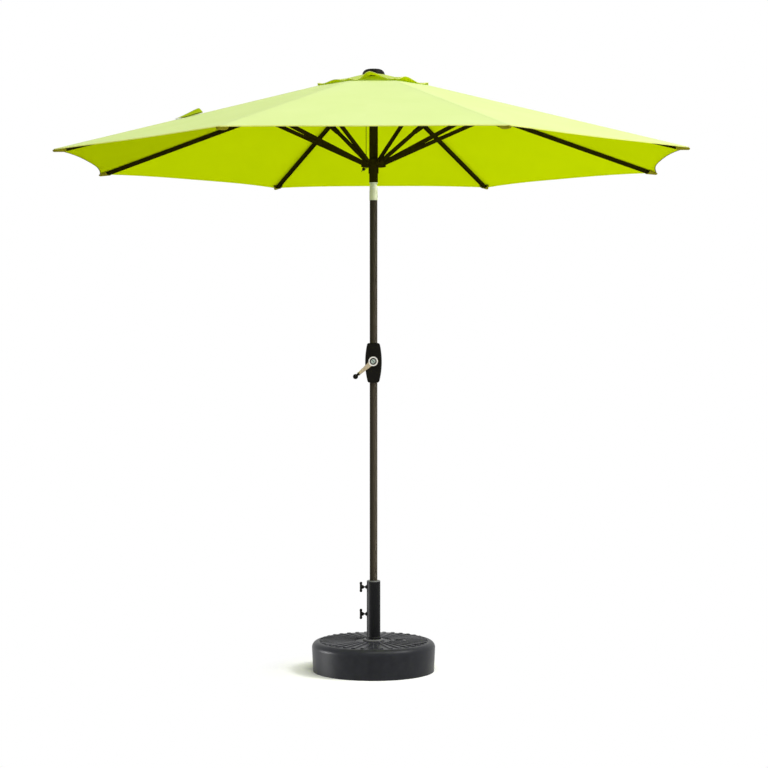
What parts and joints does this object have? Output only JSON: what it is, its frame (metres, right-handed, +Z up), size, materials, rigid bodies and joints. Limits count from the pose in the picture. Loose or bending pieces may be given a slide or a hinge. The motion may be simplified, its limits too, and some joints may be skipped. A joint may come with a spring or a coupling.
{
  "type": "patio umbrella with base",
  "caption": "Free-standing patio umbrella: ribbed canopy with a vent cap, cranked lift, tilting head, and a round fillable base with clamp knobs.",
  "frame": {"origin": "on the floor under the middle of the pole, at the base's underside", "axes": "+Z up along the pole; -Y is the front, where the crank is; the clamp knobs are on -X and the filler cap on +X"},
  "size_m": [2.4026, 2.4026, 2.43],
  "materials": {
    "bronze_paint": "satin",
    "black_paint": "satin",
    "charcoal_plastic": "matte",
    "black_plastic": "satin",
    "grey_plastic": "satin",
    "silver_metal": "satin",
    "bright_steel": "satin",
    "lime_cloth": "matte",
    "dark_cord": "matte",
    "nylon": "satin",
    "ballast": "gloss"
  },
  "bodies": {
    "base": {"base_tank": "charcoal_plastic", "ballast_water": "ballast", "stem_tube": "black_paint", "stem_collar": "grey_plastic", "stem_bush": "grey_plastic"},
    "fill_cap": {"fill_cap": "charcoal_plastic"},
    "upper_knob": {"upper_clamp_knob": "black_plastic"},
    "lower_knob": {"lower_clamp_knob": "black_plastic"},
    "pole_plug": {"pole_plug": "black_plastic"},
    "pole": {"lower_pole": "bronze_paint", "mid_pole": "bronze_paint", "crank_housing_front": "black_plastic", "crank_housing_rear": "black_plastic", "housing_screws": "bright_steel", "shaft_bushes": "nylon", "tilt_lower_knuckle": "silver_metal", "tilt_pin": "bright_steel", "button_spring": "bright_steel", "lift_cord_lower": "dark_cord"},
    "tilt_button": {"tilt_button": "black_plastic"},
    "crank": {"crank_shaft": "bright_steel", "cord_drum": "nylon", "crank_arm": "silver_metal", "arm_screw": "bright_steel"},
    "crank_grip": {"crank_grip": "black_plastic"},
    "head": {"tilt_upper_knuckle": "silver_metal", "top_pole": "bronze_paint", "top_hub": "black_plastic", "hub_pins": "bright_steel", "finial": "black_plastic", "pulley_axle": "bright_steel", "lift_cord_upper": "dark_cord"},
    "pulley": {"pulley": "nylon"},
    "rib_1": {"rib_1": "bronze_paint", "canopy_gore_1": "lime_cloth"},
    "rib_2": {"rib_2": "bronze_paint", "canopy_gore_2": "lime_cloth"},
    "rib_3": {"rib_3": "bronze_paint", "canopy_gore_3": "lime_cloth"},
    "rib_4": {"rib_4": "bronze_paint", "canopy_gore_4": "lime_cloth"},
    "rib_5": {"rib_5": "bronze_paint", "canopy_gore_5": "lime_cloth"},
    "rib_6": {"rib_6": "bronze_paint", "canopy_gore_6": "lime_cloth"},
    "rib_7": {"rib_7": "bronze_paint", "canopy_gore_7": "lime_cloth"},
    "rib_8": {"rib_8": "bronze_paint", "canopy_gore_8": "lime_cloth"},
    "strut_1": {"strut_1": "bronze_paint"},
    "strut_2": {"strut_2": "bronze_paint"},
    "strut_3": {"strut_3": "bronze_paint"},
    "strut_4": {"strut_4": "bronze_paint"},
    "strut_5": {"strut_5": "bronze_paint"},
    "strut_6": {"strut_6": "bronze_paint"},
    "strut_7": {"strut_7": "bronze_paint"},
    "strut_8": {"strut_8": "bronze_paint"},
    "runner": {"runner": "black_plastic", "runner_pins": "bright_steel", "cord_knot": "dark_cord"}
  },
  "joints": [
    {"name": "cap_lift", "type": "slide", "parent": "base", "child": "fill_cap", "axis": [0, 0, 1], "range_m": [0, 0.03]},
    {"name": "upper_knob_turn", "type": "hinge", "parent": "base", "child": "upper_knob", "pos_m": [-0.03, 0, 0.337], "axis": [-1, 0, 0], "range_deg": [0, 720]},
    {"name": "lower_knob_turn", "type": "hinge", "parent": "base", "child": "lower_knob", "pos_m": [-0.03, 0, 0.228], "axis": [-1, 0, 0], "range_deg": [0, 720]},
    {"name": "pole_lift", "type": "slide", "parent": "base", "child": "pole_plug", "axis": [0, 0, 1], "range_m": [0, 0.36]},
    {"name": "pole_turn", "type": "hinge", "parent": "pole_plug", "child": "pole", "pos_m": [0, 0, 0.03], "axis": [0, 0, 1], "continuous": true},
    {"name": "tilt_button_press", "type": "slide", "parent": "pole", "child": "tilt_button", "axis": [-1, 0, 0], "range_m": [0, 0.002], "stiffness_N_per_m": 1500, "springref_m": -0.001, "deforming": ["button_spring"]},
    {"name": "tilt", "type": "hinge", "parent": "pole", "child": "head", "pos_m": [0, 0, 1.952], "axis": [0, 1, 0], "range_deg": [0, 35]},
    {"name": "crank_turn", "type": "hinge", "parent": "pole", "child": "crank", "pos_m": [0, -0.02, 1.25], "axis": [0, -1, 0], "range_deg": [-4321, 1]},
    {"name": "crank_grip_spin", "type": "hinge", "parent": "crank", "child": "crank_grip", "pos_m": [-0.06546, -0.05684, 1.19349], "axis": [-0.6201, -0.5736, -0.5353], "continuous": true},
    {"name": "pulley_spin", "type": "hinge", "parent": "head", "child": "pulley", "pos_m": [-0.0183, 0, 2.363], "axis": [0, 1, 0], "range_deg": [-2436, 3]},
    {"name": "canopy_fold", "type": "hinge", "parent": "head", "child": "rib_1", "pos_m": [0.0388, 0.01607, 2.396], "axis": [0.3827, -0.9239, 0], "range_deg": [-67.5, 0], "deforming": ["canopy_gore_1", "canopy_gore_2", "canopy_gore_3", "canopy_gore_4", "canopy_gore_5", "canopy_gore_6", "canopy_gore_7", "canopy_gore_8", "lift_cord_upper"]},
    {"name": "rib_2_fold", "type": "hinge", "parent": "head", "child": "rib_2", "pos_m": [0.01607, 0.0388, 2.396], "axis": [0.9239, -0.3827, 0], "range_deg": [-68, 0.5]},
    {"name": "rib_3_fold", "type": "hinge", "parent": "head", "child": "rib_3", "pos_m": [-0.01607, 0.0388, 2.396], "axis": [0.9239, 0.3827, 0], "range_deg": [-68, 0.5]},
    {"name": "rib_4_fold", "type": "hinge", "parent": "head", "child": "rib_4", "pos_m": [-0.0388, 0.01607, 2.396], "axis": [0.3827, 0.9239, 0], "range_deg": [-68, 0.5]},
    {"name": "rib_5_fold", "type": "hinge", "parent": "head", "child": "rib_5", "pos_m": [-0.0388, -0.01607, 2.396], "axis": [-0.3827, 0.9239, 0], "range_deg": [-68, 0.5]},
    {"name": "rib_6_fold", "type": "hinge", "parent": "head", "child": "rib_6", "pos_m": [-0.01607, -0.0388, 2.396], "axis": [-0.9239, 0.3827, 0], "range_deg": [-68, 0.5]},
    {"name": "rib_7_fold", "type": "hinge", "parent": "head", "child": "rib_7", "pos_m": [0.01607, -0.0388, 2.396], "axis": [-0.9239, -0.3827, 0], "range_deg": [-68, 0.5]},
    {"name": "rib_8_fold", "type": "hinge", "parent": "head", "child": "rib_8", "pos_m": [0.0388, -0.01607, 2.396], "axis": [-0.3827, -0.9239, 0], "range_deg": [-68, 0.5]},
    {"name": "strut_1_swing", "type": "hinge", "parent": "rib_1", "child": "strut_1", "pos_m": [0.39425, 0.1633, 2.22289], "axis": [0.3827, -0.9239, 0], "range_deg": [-0.5, 135.5]},
    {"name": "strut_2_swing", "type": "hinge", "parent": "rib_2", "child": "strut_2", "pos_m": [0.1633, 0.39425, 2.22289], "axis": [0.9239, -0.3827, 0], "range_deg": [-0.5, 135.5]},
    {"name": "strut_3_swing", "type": "hinge", "parent": "rib_3", "child": "strut_3", "pos_m": [-0.1633, 0.39425, 2.22289], "axis": [0.9239, 0.3827, 0], "range_deg": [-0.5, 135.5]},
    {"name": "strut_4_swing", "type": "hinge", "parent": "rib_4", "child": "strut_4", "pos_m": [-0.39425, 0.1633, 2.22289], "axis": [0.3827, 0.9239, 0], "range_deg": [-0.5, 135.5]},
    {"name": "strut_5_swing", "type": "hinge", "parent": "rib_5", "child": "strut_5", "pos_m": [-0.39425, -0.1633, 2.22289], "axis": [-0.3827, 0.9239, 0], "range_deg": [-0.5, 135.5]},
    {"name": "strut_6_swing", "type": "hinge", "parent": "rib_6", "child": "strut_6", "pos_m": [-0.1633, -0.39425, 2.22289], "axis": [-0.9239, 0.3827, 0], "range_deg": [-0.5, 135.5]},
    {"name": "strut_7_swing", "type": "hinge", "parent": "rib_7", "child": "strut_7", "pos_m": [0.1633, -0.39425, 2.22289], "axis": [-0.9239, -0.3827, 0], "range_deg": [-0.5, 135.5]},
    {"name": "strut_8_swing", "type": "hinge", "parent": "rib_8", "child": "strut_8", "pos_m": [0.39425, -0.1633, 2.22289], "axis": [-0.3827, -0.9239, 0], "range_deg": [-0.5, 135.5]},
    {"name": "runner_level", "type": "hinge", "parent": "strut_1", "child": "runner", "pos_m": [0.0388, 0.01607, 2.04978], "axis": [0.3827, -0.9239, 0], "range_deg": [-68, 0.5]}
  ],
  "couplings": [
    {"joint": "rib_2_fold", "follows": "canopy_fold", "ratio": 1},
    {"joint": "rib_3_fold", "follows": "canopy_fold", "ratio": 1},
    {"joint": "rib_4_fold", "follows": "canopy_fold", "ratio": 1},
    {"joint": "rib_5_fold", "follows": "canopy_fold", "ratio": 1},
    {"joint": "rib_6_fold", "follows": "canopy_fold", "ratio": 1},
    {"joint": "rib_7_fold", "follows": "canopy_fold", "ratio": 1},
    {"joint": "rib_8_fold", "follows": "canopy_fold", "ratio": 1},
    {"joint": "strut_1_swing", "follows": "canopy_fold", "ratio": -2},
    {"joint": "strut_2_swing", "follows": "canopy_fold", "ratio": -2},
    {"joint": "strut_3_swing", "follows": "canopy_fold", "ratio": -2},
    {"joint": "strut_4_swing", "follows": "canopy_fold", "ratio": -2},
    {"joint": "strut_5_swing", "follows": "canopy_fold", "ratio": -2},
    {"joint": "strut_6_swing", "follows": "canopy_fold", "ratio": -2},
    {"joint": "strut_7_swing", "follows": "canopy_fold", "ratio": -2},
    {"joint": "strut_8_swing", "follows": "canopy_fold", "ratio": -2},
    {"joint": "runner_level", "follows": "canopy_fold", "ratio": 1},
    {"joint": "crank_turn", "follows": "canopy_fold", "ratio": 64},
    {"joint": "pulley_spin", "follows": "canopy_fold", "ratio": 36.059}
  ]
}
